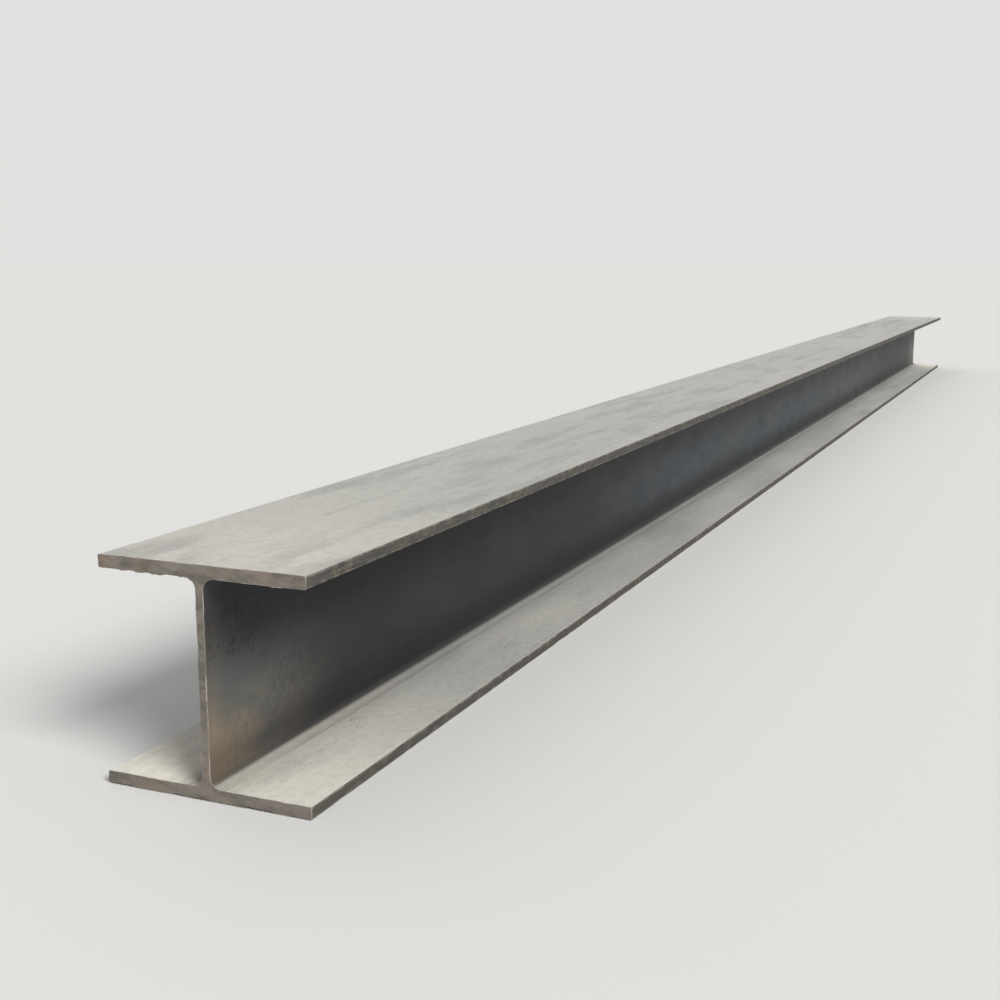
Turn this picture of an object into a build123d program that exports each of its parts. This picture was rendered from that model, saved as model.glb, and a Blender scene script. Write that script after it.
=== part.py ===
from build123d import *
import os

# One length of hot-rolled wide-flange steel beam, lying on its lower flange.
# X runs across the flanges, Y along the beam and Z up through the web.
# The origin is on the underside, at the middle of the beam. Sizes are in millimetres.

section_depth = 250.0  # from the underside of the lower flange to the top of the upper one
flange_width = 250.0
web_thickness = 9.0
flange_thickness = 14.0
root_radius = 13.0  # hollow curve that the rolls leave where a flange meets the web
toe_radius = 2.0  # slightly blunted corners along the flange toes
stock_length = 6000.0

web_height = section_depth - 2 * flange_thickness

# The section stands across the beam, and is drawn out both ways from the middle.
with BuildPart() as h_beam:
    with BuildSketch(Plane.XZ) as section:
        with Locations((0, 0), (0, section_depth - flange_thickness)):
            Rectangle(flange_width, flange_thickness, align=(Align.CENTER, Align.MIN))
        with Locations((0, flange_thickness)):
            Rectangle(web_thickness, web_height, align=(Align.CENTER, Align.MIN))

        # The corners stand in columns: the toes outermost, and the roots beside the web.
        columns = section.vertices().group_by(Axis.X)
        fillet(columns[1] + columns[2], radius=root_radius)
        columns = section.vertices().group_by(Axis.X)
        fillet(columns[0] + columns[-1], radius=toe_radius)
    extrude(amount=stock_length / 2, both=True)

h_beam.part.label = "h_beam"

os.makedirs("parts", exist_ok=True)
export_step(h_beam.part, "parts/h_beam.step")
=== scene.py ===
import bmesh
import bpy
import math
import numpy as np
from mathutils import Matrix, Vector, noise
from mathutils.geometry import delaunay_2d_cdt


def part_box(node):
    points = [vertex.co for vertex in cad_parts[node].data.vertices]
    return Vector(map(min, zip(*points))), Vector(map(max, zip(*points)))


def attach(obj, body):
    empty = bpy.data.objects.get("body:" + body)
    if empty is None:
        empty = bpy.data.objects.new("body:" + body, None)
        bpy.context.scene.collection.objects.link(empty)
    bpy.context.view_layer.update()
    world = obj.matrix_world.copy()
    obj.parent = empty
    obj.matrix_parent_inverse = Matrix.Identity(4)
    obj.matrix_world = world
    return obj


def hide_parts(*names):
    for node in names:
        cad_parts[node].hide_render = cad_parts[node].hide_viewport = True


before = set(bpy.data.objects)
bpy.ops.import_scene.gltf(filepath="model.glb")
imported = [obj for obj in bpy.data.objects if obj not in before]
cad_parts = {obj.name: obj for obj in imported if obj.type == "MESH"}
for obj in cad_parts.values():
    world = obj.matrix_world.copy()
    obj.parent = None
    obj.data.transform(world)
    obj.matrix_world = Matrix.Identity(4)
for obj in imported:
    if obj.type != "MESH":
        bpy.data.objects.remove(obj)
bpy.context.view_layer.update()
low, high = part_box("h_beam")

# Sizes of the beam. The first three come from the frame. Every length here is in metres, unless its
# name says otherwise.
WIDTH = high.x - low.x
DEPTH = high.z - low.z
LENGTH = high.y - low.y
WEB = 0.009
FLANGE = 0.014
ROOT_RADIUS = 0.013
TOE_RADIUS = 0.002
FACE_HEIGHTS = (0.0, FLANGE, DEPTH - FLANGE, DEPTH)  # of the lower and upper faces of both flanges

# How closely the surface's points stand.
OUTLINE_STEP = 0.0118
CORNER_MARKS = (0.0012, 0.003, 0.006)  # extra points that follow each corner of the section
TOE_PARTS = 3
ROOT_PARTS = 7
FINE_PARTS = 7  # parts that the sawn ends cut each stretch of the outline into
STATION_FIRST_STEP = 0.005
STATION_LAST_STEP = 0.026
STATION_GROWTH = 1.035
SAME_POINT = 1e-7  # points of a sawn face that are nearer than this become one
SHARP_DEGREES = 40  # an edge that bends more than this is shaded sharp

# How far the rolled faces depart from flat and straight. A size is that of the noise's lumps.
SWELL = 0.00020
SWELL_SIZE = (0.11, 0.45, 0.11)
RIPPLE = 0.00006
RIPPLE_SIZE = (0.022, 0.07, 0.022)
TOE_ZONE = 0.004  # points this near to a flange's edge also follow the wander of its toe
TOE_WANDER = 0.00024
TOE_WANDER_LENGTH = 0.40
TOE_RIPPLE = 0.00008
TOE_RIPPLE_LENGTH = 0.035
UNDERSIDE = 0.001  # points lower than this are on the face that the beam lies on
UNDERSIDE_SHARE = 0.3  # that face departs inwards only, and by this share of what the others do

# Knocks along the corners of the toes. Two in three are within a metre of an end.
NICKS_A_CORNER = 30
NICK_NEAREST = 0.02
NICK_END_ZONE = 1.0
NICK_DEPTHS = (0.0002, 0.0008)
NICK_HALF_LENGTHS = (0.004, 0.015)
NICK_REACH = 0.005

# The torn rim of a sawn end: how far the saw tears each kind of face there.
RIM_ROUGHNESS = ((0.55, 0.030), (0.50, 0.009), (0.40, 0.0035))  # each noise's share and lump size
BITE_LENGTH = 0.0048  # the torn rim fades out over this length
UNDERSIDE_BITE = 0.0040  # bites out of the lowest face, which has no burrs
UNDERSIDE_BIAS = 0.22
HANGING_BURR = 0.0028  # burrs that hang from the upper flange, which has no bites there
HANGING_BIAS = 0.04
WEB_TEAR = 0.0008
TOP_TEAR = 0.0008
TOE_TEAR = 0.0009
LEVEL_NORMAL = 0.5  # a face looks up or down where its normal's upright part passes this

# The sawn face: how its cut ran, and the points that cover it.
SAWN_ZONE = 0.012  # length at each end that has the fine outline
SAWN_RINGS = (0.0, 0.0004, 0.0010, 0.0018, 0.0030, 0.0046, 0.0075, SAWN_ZONE)
CUT_SETBACK = 0.0003  # how far the whole face lies behind the true end
CUT_LEAN = 0.0006  # how much further back the top of the face lies than its foot
CUT_WANDER = 0.0004
CUT_WANDER_SIZE = (0.05, 1, 0.02)
RIM_INSET = 0.0008  # width of the strip between an end's rim and its inner ring
INNER_BITE = 0.6  # share of the rim's tears that the inner ring follows
CAP_PROUD = 0.0001  # how far the face stands out from its rim
CAP_EDGE = 0.0046  # how far the grid of its inner points stays from its edges
CAP_PITCH = 0.0034
CAP_SHIFT = 0.0004  # how far those points may be off their grid

# Weights that the finish reads: wear of the corners and rims, which also places painted highlights on the
# rims, and how far each reaches.
WEAR_FULL = 0.001
WEAR_FADE = 0.0035
EDGE_WEAR_LENGTH = 0.0022
EDGE_WEAR_POWER = 1.5
RIM_MARK_LENGTH = 0.0014
INNER_WEAR = 0.25

# Seeds of the noise and of the random numbers.
SEED_SPACING = 17.3  # how far apart the noise of two seeds is taken
SWELL_SEED = 1
RIPPLE_SEED = 2
LOWER_TOE_SEEDS = (3, 5)
UPPER_TOE_SEEDS = (4, 6)
NICK_SEED = 41
FRONT_SEED = 11
BACK_SEED = 23

# Where marks of the finish, and its painted light and shade, start and are full, by the distance from an
# end of the beam.
NEAR_END = (0.75, 0.0)
BY_CUT = (0.38, 0.02)
CUT_BAND = (0.045, 0.004)
# Where the darker stretch, partly painted shade, starts and fades.
DARK_STRETCH_STARTS = (0.08, 0.30)
DARK_STRETCH_FADES = (1.8, 1.0)

# The same by the height above the lower flange.
BLOOM_HEIGHTS = (0.185, 0.100)
BROWN_HEIGHTS = (0.110, 0.030)
# Heights of the dark band over the lower root, partly dirt and partly painted shade, and of the painted
# shade under the upper flange.
ROOT_DIRT_AND_SHADE_HEIGHTS = (0.066, 0.022)
UPPER_SHADE_HEIGHTS = (0.092, 0.180)
SOOT_HEIGHTS = (0.090, 0.150)

# The same by the distance from the web's face, or from what the line names.
GREY_DUST_AND_SHADE = (0.062, 0.010)
FOOT_DUST_AND_SHADE = (0.020, 0.008)
ROOT_LINE_PLACE = 0.0175
ROOT_LINE = (0.0026, 0.0006)  # from that place
TOE_BAND = (0.0030, 0.0012)  # from the flange's edge

# Plain numbers of the materials.
SCALE_ROUGHNESS = 0.46
SCALE_SPECULAR = 0.20
DUST_ROUGHNESS = 0.86
SAWN_ROUGHNESS = 0.50
SAWN_METALLIC = 0.20
FLOOR_ROUGHNESS = 0.9
BUMP_UNIT = 0.001  # the relief that a bump height of 1 stands for
SAW_SLANT = 0.30  # how steeply the saw's lines climb across the face
SAW_LINES = 900.0  # lumps of the lines' noise in a metre, across them
SAW_LINE_BREAKS = 12.0  # and along them

# The camera stands beside and before the front end, at the photograph's distance from it.
CAMERA_RIGHT = 0.798
CAMERA_BEFORE = 1.083
CAMERA_HEIGHT = 0.554
CAMERA_YAW = 23.4
CAMERA_PITCH = -10.3
LENS_MM = 48.5
SENSOR_MM = 36.0

# Even light from all round, a broad key lamp and a weak one behind. Each lamp has a direction that
# points to it, its spread in degrees and its strength.
WORLD_STRENGTH = 0.35
LAMPS = {
    "key": ((0.80, -0.45, 0.72), 26, 2.85),
    "fill": ((-0.60, 0.50, 0.70), 60, 0.45),
}
FLOOR_HALF = 60.0
FLOOR_GAP = 0.0002


def srgb(red, green, blue):
    """A colour given as 0 to 255, as the linear red, green, blue and alpha that shaders take."""
    def linear(value):
        share = value / 255
        return share / 12.92 if share <= 0.04045 else ((share + 0.055) / 1.055) ** 2.4
    return (linear(red), linear(green), linear(blue), 1.0)


SCALE_BLUE = srgb(54, 64, 73)
SCALE_GREY = srgb(62, 68, 70)
SCALE_PALE = srgb(112, 116, 113)
# Dark scale, also used for painted shade on the web.
SCALE_DARK_AND_SHADE = srgb(32, 32, 33)
SCALE_BLACK = srgb(20, 19, 19)
SCALE_BROWN = srgb(127, 113, 95)
SCALE_LILAC = srgb(78, 70, 78)
RUST = srgb(112, 82, 60)
RUST_PALE = srgb(150, 112, 84)
TOE_STEEL = srgb(86, 83, 77)
# Palest dust, partly painted light near the ends and on the lower flange.
DUST_AND_PAINTED_LIGHT = srgb(242, 236, 222)
DUST_WORN = srgb(205, 200, 190)
DUST_GREY = srgb(182, 181, 175)
DUST_THIN = srgb(146, 148, 146)
# Grime, also used for painted shade beside the lower root.
GRIME_AND_SHADE = srgb(98, 94, 87)
BARE = srgb(166, 159, 151)
SAWN = srgb(133, 126, 117)
SAWN_DARK = srgb(102, 96, 89)
SAWN_BRIGHT = srgb(160, 152, 144)
# Painted highlight on the sawn rims.
RIM_HIGHLIGHT = srgb(198, 192, 183)
FLOOR = srgb(226, 225, 222)
BACKDROP = srgb(225, 225, 223)
SKY = (0.97, 0.985, 1.0, 1.0)


def spaced(length, step):
    """Distances along a straight stretch: steps of about one size, with the corner marks at both ends.

    A short stretch has only the marks that lie in its outer thirds. The rounding joins equal distances.
    """
    marks = [m for m in CORNER_MARKS if m < length / 3]
    inner = marks[-1] if marks else 0.0
    count = max(1, round((length - 2 * inner) / step))
    middle = [inner + (length - 2 * inner) * k / count for k in range(count + 1)]
    return sorted({round(m, 7) for m in [0.0, length, *marks, *(length - m for m in marks), *middle]})


def half_outline(step):
    """The right half of the section, from the middle of the underside round to the middle of the top.

    Each row is x, z and the outward normal's x and z.
    """
    rows = []

    def straight(start, end, normal):
        length = math.dist(start, end)
        for mark in spaced(length, step):
            share = mark / length
            x = start[0] + (end[0] - start[0]) * share
            z = start[1] + (end[1] - start[1]) * share
            rows.append((x, z, *normal))

    def arc(centre, radius, first, last, parts, facing):
        for k in range(1, parts):
            angle = math.radians(first + (last - first) * k / parts)
            c, s = math.cos(angle), math.sin(angle)
            rows.append((centre[0] + radius * c, centre[1] + radius * s, facing * c, facing * s))

    toe, web, root, blunt = WIDTH / 2, WEB / 2, ROOT_RADIUS, TOE_RADIUS
    under = DEPTH - FLANGE
    straight((0, 0), (toe - blunt, 0), (0, -1))
    arc((toe - blunt, blunt), blunt, -90, 0, TOE_PARTS, 1)
    straight((toe, blunt), (toe, FLANGE - blunt), (1, 0))
    arc((toe - blunt, FLANGE - blunt), blunt, 0, 90, TOE_PARTS, 1)
    straight((toe - blunt, FLANGE), (web + root, FLANGE), (0, 1))
    arc((web + root, FLANGE + root), root, 270, 180, ROOT_PARTS, -1)
    straight((web, FLANGE + root), (web, under - root), (1, 0))
    arc((web + root, under - root), root, 180, 90, ROOT_PARTS, -1)
    straight((web + root, under), (toe - blunt, under), (0, -1))
    arc((toe - blunt, under + blunt), blunt, -90, 0, TOE_PARTS, 1)
    straight((toe, under + blunt), (toe, DEPTH - blunt), (1, 0))
    arc((toe - blunt, DEPTH - blunt), blunt, 0, 90, TOE_PARTS, 1)
    straight((toe - blunt, DEPTH), (0, DEPTH), (0, 1))
    return rows


def outline(step):
    """The whole section as an array of x, z, normal x and normal z, once round."""
    right = half_outline(step)
    left = [(-x, z, -nx, nz) for x, z, nx, nz in reversed(right)]
    return np.array(right + left[1:-1])


def refine(rows, parts):
    """Every stretch of the outline cut into so many parts, with the old points kept."""
    following = np.roll(rows, -1, axis=0)
    cuts = [rows + (following - rows) * (k / parts) for k in range(parts)]
    fine = np.stack(cuts, axis=1).reshape(-1, rows.shape[1])
    fine[:, 2:] /= np.linalg.norm(fine[:, 2:], axis=1, keepdims=True)
    return fine


def stations():
    """Distances of the whole outlines from the front end, closer together near both ends."""
    marks = [SAWN_ZONE + STATION_FIRST_STEP]
    step = STATION_FIRST_STEP
    while marks[-1] < LENGTH / 2:
        marks.append(marks[-1] + step)
        step = min(step * STATION_GROWTH, STATION_LAST_STEP)
    stretch = (LENGTH / 2 - marks[0]) / (marks[-1] - marks[0])
    front = [marks[0] + (m - marks[0]) * stretch for m in marks]
    return front + [LENGTH - m for m in reversed(front[:-1])]


def wobble(x, y, z, size, seed):
    """Smooth noise between about -1 and 1, the same each run, with lumps of about that size."""
    return noise.noise(Vector((x / size[0], y / size[1], z / size[2] + SEED_SPACING * seed)))


def toe_nicks():
    """Small knocks along the eight toe corners: distance from the front, corner, depth and half length."""
    rng = np.random.default_rng(NICK_SEED)
    stretches = (
        (NICK_NEAREST, NICK_END_ZONE),
        (LENGTH - NICK_END_ZONE, LENGTH - NICK_NEAREST),
        (NICK_END_ZONE, LENGTH - NICK_END_ZONE),
    )
    found = []
    for side in (-1, 1):
        for z in FACE_HEIGHTS:
            for k in range(NICKS_A_CORNER):
                place = rng.uniform(*stretches[k % len(stretches)])
                depth = rng.uniform(*NICK_DEPTHS)
                half = rng.uniform(*NICK_HALF_LENGTHS)
                found.append((place, (side * WIDTH / 2, z), depth, half))
    return found


def rolled_ring(rows, distance, nicks):
    """The outline at one distance from the front end, as rolling and handling leave it."""
    ring = rows.copy()
    for row in ring:
        x, z, nx, nz = row
        stand = SWELL * wobble(x, distance, z, SWELL_SIZE, SWELL_SEED)
        stand += RIPPLE * wobble(x, distance, z, RIPPLE_SIZE, RIPPLE_SEED)
        if abs(x) > WIDTH / 2 - TOE_ZONE:
            side = math.copysign(1.0, x)
            wander, ripple = LOWER_TOE_SEEDS if z < DEPTH / 2 else UPPER_TOE_SEEDS
            stand += TOE_WANDER * wobble(side, distance, 0, (1, TOE_WANDER_LENGTH, 1), wander)
            stand += TOE_RIPPLE * wobble(side, distance, 0, (1, TOE_RIPPLE_LENGTH, 1), ripple)
        if z < UNDERSIDE:
            stand = min(0.0, stand) * UNDERSIDE_SHARE
        row[0] += nx * stand
        row[1] += nz * stand
    for place, corner, depth, half in nicks:
        along = (distance - place) / half
        if abs(along) < 1:
            gap = np.hypot(rows[:, 0] - corner[0], rows[:, 1] - corner[1])
            bite = depth * (1 - along * along) * np.clip(1 - gap / NICK_REACH, 0, 1)
            ring[:, :2] -= rows[:, 2:] * bite[:, None]
    return ring


def torn_rim(rows, seed):
    """How far the saw leaves each point of an end's rim outside the section, or inside it where negative.

    The noise is taken round a circle as long as the outline, so that it closes without a jump.
    """
    steps = np.hypot(*(np.roll(rows[:, :2], -1, axis=0) - rows[:, :2]).T)
    around = np.concatenate([[0], np.cumsum(steps)[:-1]])
    radius = steps.sum() / (2 * math.pi)
    found = np.zeros(len(rows))
    for i, (place, (x, z, _, nz)) in enumerate(zip(around, rows)):
        c, s = math.cos(place / radius) * radius, math.sin(place / radius) * radius
        rough = 0.0
        for k, (share, size) in enumerate(RIM_ROUGHNESS):
            rough += share * wobble(c, s, 0, (size, size, 1), seed + k)
        if z < UNDERSIDE:
            found[i] = -UNDERSIDE_BITE * max(0.0, UNDERSIDE_BIAS + rough)
        elif abs(x) < WEB:
            found[i] = WEB_TEAR * rough
        elif nz < -LEVEL_NORMAL:
            found[i] = HANGING_BURR * max(0.0, HANGING_BIAS + rough)
        elif nz > LEVEL_NORMAL:
            found[i] = TOP_TEAR * rough
        else:
            found[i] = TOE_TEAR * rough
    return found


def end_inset(x, z, seed):
    """How far the sawn face lies behind the true end: the cut leaned and wandered a little."""
    lean = CUT_LEAN * (z / DEPTH) + CUT_SETBACK
    return lean + CUT_WANDER * (1 + wobble(x, 0, z, CUT_WANDER_SIZE, seed))


def toe_wear(rows):
    """1 at the corners of the flange toes, falling to 0 a few millimetres away."""
    gaps = [np.hypot(np.abs(rows[:, 0]) - WIDTH / 2, rows[:, 1] - z) for z in FACE_HEIGHTS]
    return np.clip(1 - (np.min(gaps, axis=0) - WEAR_FULL) / WEAR_FADE, 0, 1)


def fading(depth, length, power=1):
    """1 at the end of the beam, falling to 0 at the given length behind it."""
    return max(0.0, 1 - depth / length) ** power


class Shell:
    """The beam's surface while it is put together: points with their wear, faces with their material."""

    ROLLED = 0
    SAWN_FACE = 1

    def __init__(self):
        self.points = []
        self.wear = []
        self.faces = []
        self.slots = []

    def add_ring(self, ring, y, edge, rim):
        """Adds one closed ring of points and returns the number of its first one."""
        first = len(self.points)
        self.points += zip(ring[:, 0], y, ring[:, 1])
        self.wear += zip(edge, rim)
        return first

    def add_face(self, corners, slot):
        self.faces.append(tuple(corners))
        self.slots.append(slot)

    def add_strip(self, first, second, count):
        """Rolled faces between two rings of the same count."""
        for k in range(count):
            nxt = (k + 1) % count
            self.add_face((first + k, second + k, second + nxt, first + nxt), self.ROLLED)


def cap_grid(rim, seed):
    """Points and triangles of a sawn face. The rim's own points come first, then a slightly uneven grid."""
    rng = np.random.default_rng(seed)
    points = [Vector(p) for p in rim]
    blocks = (
        (-WIDTH / 2, WIDTH / 2, 0.0, FLANGE),
        (-WIDTH / 2, WIDTH / 2, DEPTH - FLANGE, DEPTH),
        (-WEB / 2, WEB / 2, FLANGE, DEPTH - FLANGE),
    )
    for left, right, bottom, top in blocks:
        edge = min(CAP_EDGE, (right - left) / 2, (top - bottom) / 2)
        across = max(1, int((right - left - 2 * edge) / CAP_PITCH))
        upward = max(1, int((top - bottom - 2 * edge) / CAP_PITCH))
        for i in range(across + 1):
            for j in range(upward + 1):
                x = left + edge + (right - left - 2 * edge) * i / across
                z = bottom + edge + (top - bottom - 2 * edge) * j / upward
                shift = rng.uniform(-CAP_SHIFT, CAP_SHIFT, 2)
                points.append(Vector((x + shift[0], z + shift[1])))
    border = list(range(len(rim)))
    inside_only = 1
    corners, _, faces, sources, _, _ = delaunay_2d_cdt(points, [], [border], inside_only, SAME_POINT)
    return corners, faces, sources


def sawn_end(shell, rows, nicks, end, seed):
    """Rings that lead to the torn rim of one end, and its sawn face. Returns the innermost ring.

    The end is -1 for the front and 1 for the back.
    """
    count = len(rows)
    bite = torn_rim(rows, seed)

    def ring_at(depth):
        return rolled_ring(rows, depth if end < 0 else LENGTH - depth, nicks)

    rings = []
    for depth in SAWN_RINGS:
        ring = ring_at(depth)
        ring[:, :2] += rows[:, 2:] * (bite * fading(depth, BITE_LENGTH, 2))[:, None]
        inset = np.array([end_inset(x, z, seed) for x, z in ring[:, :2]])
        y = end * (LENGTH / 2 - depth - inset * (1 - depth / SAWN_ZONE))
        edge = np.maximum(toe_wear(rows), fading(depth, EDGE_WEAR_LENGTH, EDGE_WEAR_POWER))
        rings.append(shell.add_ring(ring, y, edge, np.full(count, fading(depth, RIM_MARK_LENGTH))))
    for outer, inner in zip(rings, rings[1:]):
        shell.add_strip(outer, inner, count)

    # A narrow strip leads in from the rim, and triangles cover the rest.
    inner = ring_at(0.0)
    inner[:, :2] += rows[:, 2:] * (bite * INNER_BITE - RIM_INSET)[:, None]
    corners, triangles, sources = cap_grid(inner[:, :2], seed)
    first = len(shell.points)
    on_rim = {}
    for k, (x, z) in enumerate(corners):
        shell.points.append((x, end * (LENGTH / 2 - end_inset(x, z, seed) + CAP_PROUD), z))
        own = [s for s in sources[k] if s < count]
        shell.wear.append((INNER_WEAR if own else 0.0, 0.0))
        on_rim.update({s: first + k for s in own})
    for triangle in triangles:
        shell.add_face([first + k for k in triangle], shell.SAWN_FACE)
    for k in range(count):
        nxt = (k + 1) % count
        shell.add_face((rings[0] + k, rings[0] + nxt, on_rim[nxt], on_rim[k]), shell.SAWN_FACE)
    return rings[-1]


def beam_shell():
    """The whole surface: rolled faces along the beam, torn rims and uneven sawn faces at its ends."""
    shell = Shell()
    coarse = outline(OUTLINE_STEP)
    fine = refine(coarse, FINE_PARTS)
    nicks = toe_nicks()
    count = len(coarse)
    front = sawn_end(shell, fine, nicks, -1, FRONT_SEED)
    back = sawn_end(shell, fine, nicks, 1, BACK_SEED)

    rings = []
    wear = toe_wear(coarse)
    no_rim = np.zeros(count)
    for distance in stations():
        y = np.full(count, distance - LENGTH / 2)
        rings.append(shell.add_ring(rolled_ring(coarse, distance, nicks), y, wear, no_rim))
    for nearer, farther in zip(rings, rings[1:]):
        shell.add_strip(nearer, farther, count)

    # Each coarse stretch meets the fine points of the end beside it.
    for fine_ring, coarse_ring in ((front, rings[0]), (back, rings[-1])):
        for k in range(count):
            between = [fine_ring + (k * FINE_PARTS + p) % len(fine) for p in range(FINE_PARTS + 1)]
            shell.add_face((coarse_ring + (k + 1) % count, coarse_ring + k, *between), shell.ROLLED)
    return shell


def build_beam(materials):
    """The beam as one closed mesh, with its materials and the weights that they read."""
    shell = beam_shell()
    mesh = bpy.data.meshes.new("rolled_beam")
    mesh.from_pydata(shell.points, [], shell.faces)
    for material in materials:
        mesh.materials.append(material)
    mesh.polygons.foreach_set("material_index", shell.slots)
    for name, values in zip(("edge_wear", "saw_rim"), zip(*shell.wear)):
        layer = mesh.attributes.new(name, "FLOAT", "POINT")
        layer.data.foreach_set("value", np.array(values, np.float32))
    work = bmesh.new()
    work.from_mesh(mesh)
    bmesh.ops.recalc_face_normals(work, faces=work.faces)
    for face in work.faces:
        face.smooth = True
    for edge in work.edges:
        if len(edge.link_faces) == 2 and edge.calc_face_angle() > math.radians(SHARP_DEGREES):
            edge.smooth = False
    work.to_mesh(mesh)
    work.free()
    beam = bpy.data.objects.new("rolled_beam", mesh)
    bpy.context.scene.collection.objects.link(beam)
    return beam


class Nodes:
    """Short forms for the shader nodes of one material. Places are object coordinates in metres."""

    def __init__(self, name):
        self.material = bpy.data.materials.new(name)
        self.material.use_nodes = True
        self.tree = self.material.node_tree
        self.shader = self.tree.nodes["Principled BSDF"]
        self.place = self.add("ShaderNodeTexCoord").outputs["Object"]
        self.x, self.y, self.z = self.add("ShaderNodeSeparateXYZ", {0: self.place}).outputs

    def add(self, kind, inputs=None, **settings):
        node = self.tree.nodes.new(kind)
        for key, value in settings.items():
            setattr(node, key, value)
        for key, value in (inputs or {}).items():
            self.put(value, node.inputs[key])
        return node

    def put(self, value, socket):
        if isinstance(value, bpy.types.NodeSocket):
            self.tree.links.new(value, socket)
        else:
            socket.default_value = value

    def maths(self, operation, *values):
        node = self.add("ShaderNodeMath", operation=operation)
        for value, socket in zip(values, node.inputs):
            self.put(value, socket)
        return node.outputs[0]

    def chain(self, operation, values):
        result = values[0]
        for value in values[1:]:
            result = self.maths(operation, result, value)
        return result

    def times(self, *values):
        return self.chain("MULTIPLY", values)

    def plus(self, *values):
        return self.chain("ADD", values)

    def minus(self, first, second):
        return self.maths("SUBTRACT", first, second)

    def size_of(self, value):
        return self.maths("ABSOLUTE", value)

    def scaled(self, value, factor, base):
        """The value times the factor, plus the base."""
        return self.maths("MULTIPLY_ADD", value, factor, base)

    def noise_at(self, place, detail=3.0, rough=0.5, warp=0.0):
        """Noise from 0 to 1 with lumps of about 1 at a place that is already scaled."""
        inputs = {"Vector": place, "Scale": 1.0, "Detail": detail, "Roughness": rough, "Distortion": warp}
        return self.add("ShaderNodeTexNoise", inputs).outputs["Fac"]

    def noise(self, size, shift, **kind):
        """Noise from 0 to 1 with lumps of about the given size along X, Y and Z.

        The shift moves it, so that no two noises are alike.
        """
        inputs = {
            "Vector": self.place,
            "Location": (shift, shift * 0.7, -shift),
            "Scale": tuple(1 / s for s in size),
        }
        return self.noise_at(self.add("ShaderNodeMapping", inputs).outputs[0], **kind)

    def ramp(self, value, start, end):
        """0 below start and 1 above end, with a smooth rise. It falls instead where end is below start."""
        low_end, high_end, first, last = (start, end, 0.0, 1.0) if start < end else (end, start, 1.0, 0.0)
        inputs = {
            "Value": value,
            "From Min": low_end,
            "From Max": high_end,
            "To Min": first,
            "To Max": last,
        }
        return self.add("ShaderNodeMapRange", inputs, interpolation_type="SMOOTHSTEP").outputs[0]

    def mix(self, share, first, second):
        """A colour between two others. A share above 1 counts as 1."""
        return self.add("ShaderNodeMix", {0: share, 6: first, 7: second}, data_type="RGBA").outputs[2]

    def blend(self, share, first, second):
        """A number between two others."""
        return self.add("ShaderNodeMix", {0: share, 2: first, 3: second}).outputs[0]

    def stain(self, under, colour, pattern, rise, *shares):
        """A colour with another over it where a pattern is strong.

        The rise is the pattern's value where that starts, and its value where it is full.
        """
        return self.mix(self.times(self.ramp(pattern, *rise), *shares), under, colour)

    def rim_and_highlight(self, colour, rim, share):
        """Brighter steel along a sawn rim, partly real and partly painted highlight, brightest in painted
        glints where light would catch it.
        """
        colour = self.mix(self.times(rim, share), colour, SAWN_BRIGHT)
        painted_glints = self.noise((0.030, 0.030, 0.030), 61.3, detail=2.0)
        return self.stain(colour, RIM_HIGHLIGHT, painted_glints, (0.48, 0.62), rim, 0.75)

    def weight(self, name):
        return self.add("ShaderNodeAttribute", attribute_name=name).outputs["Fac"]

    def bump(self, *layers):
        """Relief from pairs of height, 0 to 1, and depth in metres."""
        total = self.plus(*(self.times(height, depth / BUMP_UNIT) for height, depth in layers))
        node = self.add("ShaderNodeBump", {"Height": total, "Strength": 1.0, "Distance": BUMP_UNIT})
        self.put(node.outputs[0], self.shader.inputs["Normal"])

    def finish(self, colour, roughness):
        self.put(colour, self.shader.inputs["Base Color"])
        self.put(roughness, self.shader.inputs["Roughness"])
        return self.material


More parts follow.
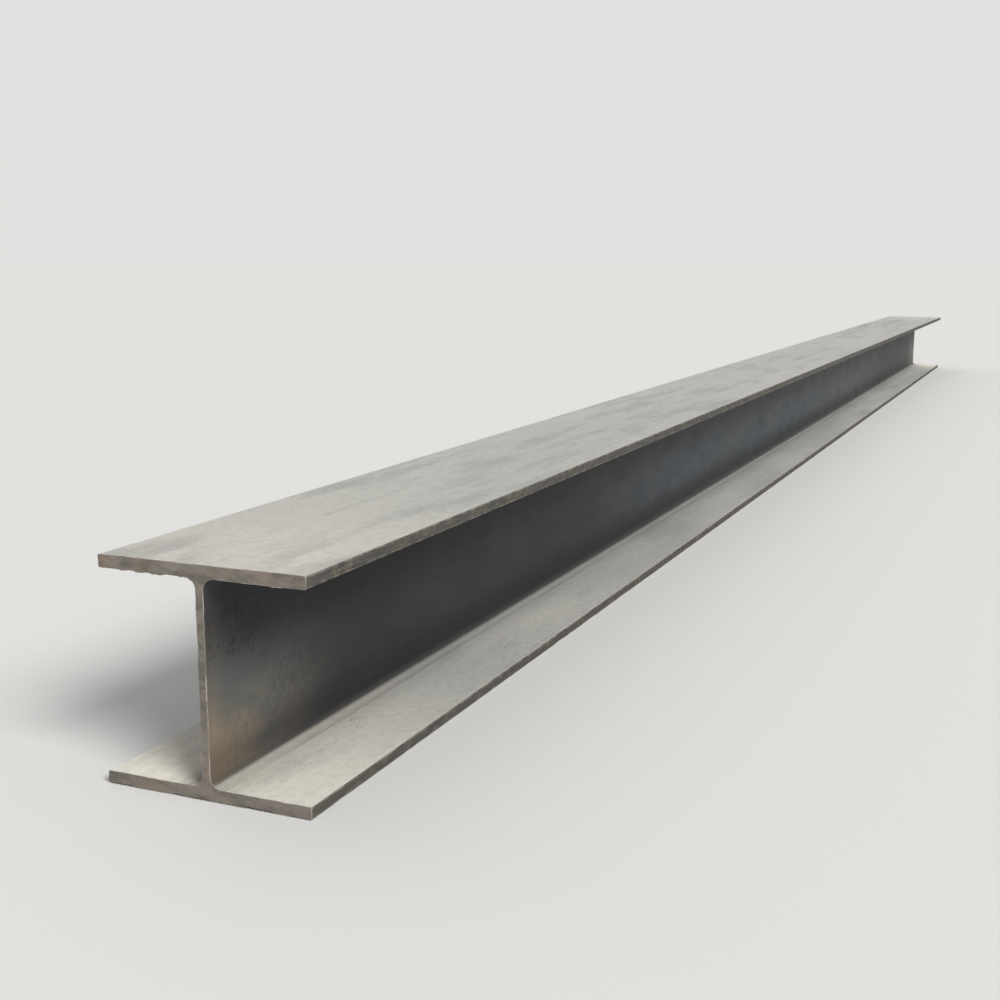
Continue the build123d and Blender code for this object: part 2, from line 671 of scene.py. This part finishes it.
class RolledSteel(Nodes):
    """Blue-grey mill scale with first rust, dust on every face that looks up, worn toe corners, and some
    painted light and shade.
    """

    def __init__(self):
        super().__init__("rolled_steel")
        facing = self.add("ShaderNodeNewGeometry").outputs["Normal"]
        sideways, _, self.up = self.add("ShaderNodeSeparateXYZ", {0: facing}).outputs
        self.on_web = self.size_of(sideways)
        self.above = self.minus(self.z, FLANGE)
        self.from_web = self.minus(self.size_of(self.x), WEB / 2)
        self.from_toe = self.minus(WIDTH / 2, self.size_of(self.x))
        self.from_end = self.minus(LENGTH / 2, self.size_of(self.y))
        self.near_end = self.ramp(self.from_end, *NEAR_END)
        self.patches = self.noise((0.040, 0.100, 0.040), 4.1, detail=5.0, rough=0.6, warp=0.3)
        self.blotches = self.noise((0.010, 0.018, 0.010), 7.7, detail=4.0, rough=0.6)
        self.grain = self.noise((0.0016, 0.0022, 0.0016), 2.9, rough=0.6)
        self.streaks = self.noise((0.0045, 0.42, 0.0045), 5.2, detail=4.0, rough=0.65)
        self.grit = self.noise((0.0048, 0.0054, 0.0085), 37.4, rough=0.65)

    def mill_scale(self):
        """The skin that rolling leaves, blue to grey. Its upright strokes and its grit gather in places."""
        clouds = self.noise((0.16, 0.55, 0.16), 1.3)
        tint = self.noise((0.05, 1.30, 0.05), 9.4)
        drips = self.noise((0.006, 0.006, 0.160), 6.6, rough=0.6)
        strokes = self.noise((0.0024, 0.0024, 0.022), 30.2, rough=0.6)
        flecks = self.noise((0.0026, 0.0034, 0.0026), 11.8, detail=2.0)
        stroked = self.ramp(self.noise((0.07, 0.10, 0.07), 33.5), 0.44, 0.66)
        gritty = self.times(stroked, self.scaled(self.near_end, 0.65, 0.35))

        colour = self.mix(self.ramp(clouds, 0.38, 0.62), SCALE_BLUE, SCALE_GREY)
        colour = self.stain(colour, SCALE_LILAC, tint, (0.48, 0.68), 0.45)
        colour = self.stain(colour, SCALE_DARK_AND_SHADE, self.patches, (0.46, 0.76), 0.28)
        colour = self.stain(colour, SCALE_DARK_AND_SHADE, self.streaks, (0.50, 0.75), 0.20)
        colour = self.stain(colour, SCALE_DARK_AND_SHADE, drips, (0.52, 0.72), 0.14)
        stroke_share = self.scaled(self.near_end, 0.06, 0.22)
        colour = self.stain(colour, SCALE_DARK_AND_SHADE, strokes, (0.50, 0.70), stroked, stroke_share)
        colour = self.stain(colour, DUST_GREY, strokes, (0.46, 0.32), stroked, 0.10)
        colour = self.stain(colour, SCALE_DARK_AND_SHADE, self.grain, (0.58, 0.40), 0.30)
        colour = self.stain(colour, DUST_GREY, flecks, (0.65, 0.77), 0.16)
        colour = self.stain(colour, SCALE_DARK_AND_SHADE, self.grit, (0.50, 0.34), self.scaled(gritty, 0.26, 0.10))
        return self.stain(colour, DUST_GREY, self.grit, (0.56, 0.70), self.scaled(gritty, 0.11, 0.02))

    def web_marks(self, colour):
        """The scale with what time and handling have added to it, and painted shade, most of it on the web.
        """
        # Near each end the web has a pale bloom, a soft brown patch below it and a brown band at the cut.
        rising = self.ramp(self.from_end, *BY_CUT)
        by_cut = self.times(rising, rising)
        bloom = self.times(self.on_web, by_cut, self.ramp(self.above, *BLOOM_HEIGHTS))
        colour = self.mix(self.times(bloom, 0.28), colour, SCALE_PALE)
        soft = self.ramp(self.noise((0.09, 0.14, 0.07), 3.4, detail=4.0, rough=0.6), 0.36, 0.54)
        scuffed = self.scaled(self.ramp(self.grit, 0.38, 0.60), 0.26, 0.74)
        low_web = self.times(self.on_web, self.ramp(self.above, *BROWN_HEIGHTS))
        patch = self.times(self.scaled(soft, 0.55, 0.45), scuffed, by_cut, low_web)
        band = self.ramp(self.from_end, *CUT_BAND)
        brown = self.plus(self.times(patch, 0.95), self.times(band, 0.30), self.times(soft, 0.06))
        colour = self.mix(brown, colour, SCALE_BROWN)

        # Darker for a metre or so behind the pale stretch at each end, partly darker scale and partly
        # painted shade.
        starts = self.ramp(self.from_end, *DARK_STRETCH_STARTS)
        fades = self.ramp(self.from_end, *DARK_STRETCH_FADES)
        colour = self.mix(self.times(starts, fades, 0.72), colour, SCALE_DARK_AND_SHADE)

        # A dark band over the lower root is partly dirt and partly painted shade. The web is blackest under
        # the upper flange, where the darkening is painted shade, and painted shade also darkens the scale
        # on faces that tilt up, which shows on the root's slope.
        at_root = self.times(self.ramp(self.above, *ROOT_DIRT_AND_SHADE_HEIGHTS), self.scaled(by_cut, -0.45, 1.0))
        shade_under_flange = self.ramp(self.above, *UPPER_SHADE_HEIGHTS)
        dirt_and_shade = self.times(self.maths("MAXIMUM", at_root, shade_under_flange), 0.76)
        tilted_shade = self.times(self.ramp(self.up, 0.05, 0.60), 0.30)
        colour = self.mix(self.plus(dirt_and_shade, tilted_shade), colour, SCALE_DARK_AND_SHADE)

        # Black flecks gather high on the web near each end.
        soot = self.noise((0.004, 0.008, 0.006), 41.7, rough=0.6)
        gathered = self.ramp(self.noise((0.05, 0.07, 0.04), 45.1, detail=2.0), 0.40, 0.58)
        high_web = self.times(self.on_web, self.ramp(self.above, *SOOT_HEIGHTS))
        return self.stain(colour, SCALE_BLACK, soot, (0.52, 0.64), gathered, self.near_end, high_web, 0.60)

    def dust_colour(self):
        """Pale dust, with what dirt has left in it, and painted light and shade."""
        clouds = self.noise((0.20, 0.70, 0.20), 16.2)
        smudges = self.noise((0.050, 0.290, 0.050), 12.4, detail=4.0, rough=0.55)
        mottle = self.noise((0.009, 0.017, 0.009), 14.6, detail=4.0, rough=0.6)
        dots = self.noise((0.0042, 0.0070, 0.0042), 51.6, rough=0.6)
        upper = self.maths("GREATER_THAN", self.z, DEPTH / 2)
        lower = self.minus(1.0, upper)

        # It is palest near the ends, and greyer on the upper flange than on the lower one. The paleness
        # near the ends and on the lower flange is partly real dust and partly painted light.
        by_end = self.times(self.near_end, self.near_end, self.near_end, 0.80)
        pale = self.plus(by_end, self.times(self.ramp(clouds, 0.36, 0.64), 0.20))
        colour = self.mix(pale, DUST_GREY, self.mix(upper, DUST_AND_PAINTED_LIGHT, DUST_WORN))
        colour = self.stain(colour, DUST_THIN, smudges, (0.48, 0.70), self.scaled(upper, 0.12, 0.34))
        colour = self.stain(colour, GRIME_AND_SHADE, mottle, (0.44, 0.68), 0.12)
        colour = self.stain(colour, GRIME_AND_SHADE, dots, (0.56, 0.72), self.ramp(smudges, 0.40, 0.62), 0.24)
        colour = self.stain(colour, GRIME_AND_SHADE, self.streaks, (0.48, 0.72), 0.05)
        colour = self.stain(colour, GRIME_AND_SHADE, self.grain, (0.56, 0.74), 0.16)
        colour = self.stain(colour, SCALE_BROWN, self.blotches, (0.58, 0.78), 0.10)

        # Short pale scuffs run across the flanges in places.
        scuffs = self.noise((0.034, 0.0014, 0.034), 71.9, detail=2.0)
        scuffed = self.ramp(self.noise((0.06, 0.10, 0.06), 73.4, detail=2.0), 0.50, 0.62)
        colour = self.stain(colour, DUST_AND_PAINTED_LIGHT, scuffs, (0.58, 0.72), scuffed, 0.40)

        # Beside the lower root it is greyer, partly dirt and partly painted shade, most of all at its foot,
        # where a broken dirty line runs.
        wide = self.times(self.ramp(self.from_web, *GREY_DUST_AND_SHADE), 0.30)
        narrow = self.times(self.ramp(self.from_web, *FOOT_DUST_AND_SHADE), 0.24)
        colour = self.mix(self.times(self.plus(wide, narrow), lower), colour, GRIME_AND_SHADE)
        line = self.ramp(self.size_of(self.minus(self.from_web, ROOT_LINE_PLACE)), *ROOT_LINE)
        return self.stain(colour, GRIME_AND_SHADE, self.streaks, (0.36, 0.56), line, lower, 0.40)

    def dust_marks(self):
        """A share from 0 to 1 for the short scuffs and long scratches that leave less dust."""
        clusters = self.ramp(self.noise((0.05, 0.16, 0.05), 19.5, detail=2.0), 0.60, 0.70)
        dashes = self.ramp(self.noise((0.0030, 0.0110, 0.0030), 21.3, detail=2.0), 0.60, 0.74)
        scratches = self.ramp(self.noise((0.0011, 0.26, 0.0011), 24.8, detail=1.0), 0.70, 0.78)
        both = self.plus(self.times(clusters, dashes), self.times(scratches, 0.30))
        return self.maths("MINIMUM", both, 1.0)

    def build(self):
        colour = self.web_marks(self.mill_scale())
        rust = self.times(self.ramp(self.blotches, 0.60, 0.76), self.scaled(self.near_end, 0.26, 0.06))
        colour = self.mix(rust, colour, RUST)

        # The toes are rougher and browner than the wide faces.
        toe = self.ramp(self.from_toe, *TOE_BAND)
        ridges = self.noise((0.0010, 0.060, 0.0010), 27.1, rough=0.6)
        toe_colour = self.stain(TOE_STEEL, SCALE_DARK_AND_SHADE, ridges, (0.56, 0.38), 0.55)
        toe_colour = self.stain(toe_colour, SCALE_BROWN, self.blotches, (0.52, 0.70), 0.45)
        colour = self.mix(self.times(toe, 0.90), colour, toe_colour)

        # Dust lies on faces that look up, less of it on the marks, and as a thin film on the root's slope.
        marks = self.dust_marks()
        lies = self.times(self.ramp(self.up, 0.60, 0.97), self.scaled(marks, -0.55, 1.0))
        film = self.times(self.ramp(self.up, 0.20, 0.80), 0.10)
        dust = self.maths("MAXIMUM", lies, film)
        colour = self.mix(dust, colour, self.dust_colour())

        # Toe corners and the torn rims show brighter steel in places, and the rims carry painted
        # highlights.
        wear = self.ramp(self.weight("edge_wear"), 0.35, 0.95)
        colour = self.stain(colour, BARE, self.blotches, (0.36, 0.60), wear, 0.34)
        colour = self.rim_and_highlight(colour, self.weight("saw_rim"), 0.55)

        roughness = self.scaled(self.patches, 0.14, SCALE_ROUGHNESS)
        roughness = self.plus(roughness, self.times(rust, 0.30), self.times(toe, 0.16))
        self.shader.inputs["Specular IOR Level"].default_value = SCALE_SPECULAR
        self.bump((self.grain, 0.00005), (self.blotches, 0.00005), (self.patches, 0.00016),
                  (marks, -0.00006), (self.streaks, 0.00004), (self.times(toe, ridges), 0.00018))
        return self.finish(colour, self.blend(dust, roughness, DUST_ROUGHNESS))


def sawn_steel():
    """The cold-sawn end: fine saw lines over warm grey steel that has begun to tarnish."""
    nodes = Nodes("sawn_steel")
    climb = nodes.plus(nodes.times(nodes.x, SAW_SLANT), nodes.z)
    inputs = {0: nodes.times(nodes.x, SAW_LINE_BREAKS), 2: nodes.times(climb, SAW_LINES)}
    lines = nodes.noise_at(nodes.add("ShaderNodeCombineXYZ", inputs).outputs[0], detail=2.0)
    patches = nodes.noise((0.026, 0.020, 0.012), 3.3, detail=4.0, rough=0.6)
    specks = nodes.noise((0.0030, 0.0030, 0.0030), 8.1, rough=0.6)
    tarnish = nodes.noise((0.045, 0.045, 0.060), 15.8, rough=0.55)

    colour = nodes.mix(nodes.ramp(patches, 0.34, 0.68), SAWN, SAWN_DARK)
    colour = nodes.stain(colour, RUST_PALE, tarnish, (0.50, 0.68), nodes.ramp(specks, 0.30, 0.60), 0.50)
    colour = nodes.stain(colour, SAWN_BRIGHT, lines, (0.48, 0.68), 0.30)
    colour = nodes.stain(colour, RUST, specks, (0.56, 0.74), 0.35)
    colour = nodes.stain(colour, SAWN_DARK, specks, (0.42, 0.30), 0.40)
    # Its rims show brighter steel with painted highlights.
    colour = nodes.rim_and_highlight(colour, nodes.ramp(nodes.weight("edge_wear"), 0.25, 1.0), 0.50)

    nodes.shader.inputs["Metallic"].default_value = SAWN_METALLIC
    nodes.bump((lines, 0.00012), (specks, 0.00008), (patches, 0.00010))
    return nodes.finish(colour, nodes.scaled(patches, 0.20, SAWN_ROUGHNESS))


def floor_paint():
    """Plain pale paint with no shine."""
    material = bpy.data.materials.new("floor")
    material.use_nodes = True
    shader = material.node_tree.nodes["Principled BSDF"]
    shader.inputs["Base Color"].default_value = FLOOR
    shader.inputs["Roughness"].default_value = FLOOR_ROUGHNESS
    shader.inputs["Specular IOR Level"].default_value = 0.0
    return material


def build_floor():
    """A wide floor just under the beam."""
    mesh = bpy.data.meshes.new("floor")
    half = FLOOR_HALF
    corners = [(-half, -half, 0), (half, -half, 0), (half, half, 0), (-half, half, 0)]
    mesh.from_pydata(corners, [], [(0, 1, 2, 3)])
    mesh.materials.append(floor_paint())
    floor = bpy.data.objects.new("floor", mesh)
    floor.location.z = low.z - FLOOR_GAP
    bpy.context.scene.collection.objects.link(floor)


def build_world():
    """Even light from all round. The camera, glossy and transmission rays see the pale backdrop instead."""
    world = bpy.data.worlds.new("studio")
    bpy.context.scene.world = world
    world.use_nodes = True
    tree = world.node_tree
    tree.nodes.clear()
    rays = tree.nodes.new("ShaderNodeLightPath")
    seen = rays.outputs["Is Camera Ray"]
    for ray in ("Is Glossy Ray", "Is Transmission Ray"):
        either = tree.nodes.new("ShaderNodeMath")
        either.operation = "MAXIMUM"
        tree.links.new(seen, either.inputs[0])
        tree.links.new(rays.outputs[ray], either.inputs[1])
        seen = either.outputs[0]
    choose = tree.nodes.new("ShaderNodeMixShader")
    tree.links.new(seen, choose.inputs[0])
    for socket, colour, strength in ((1, SKY, WORLD_STRENGTH), (2, BACKDROP, 1.0)):
        background = tree.nodes.new("ShaderNodeBackground")
        background.inputs["Color"].default_value = colour
        background.inputs["Strength"].default_value = strength
        tree.links.new(background.outputs[0], choose.inputs[socket])
    output = tree.nodes.new("ShaderNodeOutputWorld")
    tree.links.new(choose.outputs[0], output.inputs["Surface"])


def add_sun(name, towards, spread, strength):
    """A broad distant lamp, so that the light is even along the whole beam."""
    data = bpy.data.lights.new(name, "SUN")
    data.angle = math.radians(spread)
    data.energy = strength
    lamp = bpy.data.objects.new(name, data)
    lamp.rotation_mode = "QUATERNION"
    lamp.rotation_quaternion = Vector(towards).to_track_quat("Z", "Y")
    bpy.context.scene.collection.objects.link(lamp)


def build_camera():
    """The camera, turned so that the whole beam is in its frame."""
    data = bpy.data.cameras.new("camera")
    data.lens = LENS_MM
    data.sensor_width = SENSOR_MM
    camera = bpy.data.objects.new("camera", data)
    camera.location = (CAMERA_RIGHT, low.y - CAMERA_BEFORE, CAMERA_HEIGHT)
    camera.rotation_euler = (math.radians(90 + CAMERA_PITCH), 0, math.radians(CAMERA_YAW))
    bpy.context.scene.collection.objects.link(camera)
    bpy.context.scene.camera = camera


bpy.context.scene.view_settings.view_transform = "Standard"
beam = build_beam([RolledSteel().build(), sawn_steel()])
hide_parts("h_beam")
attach(beam, "root")
build_floor()
build_world()
for name, lamp in LAMPS.items():
    add_sun(name, *lamp)
build_camera()
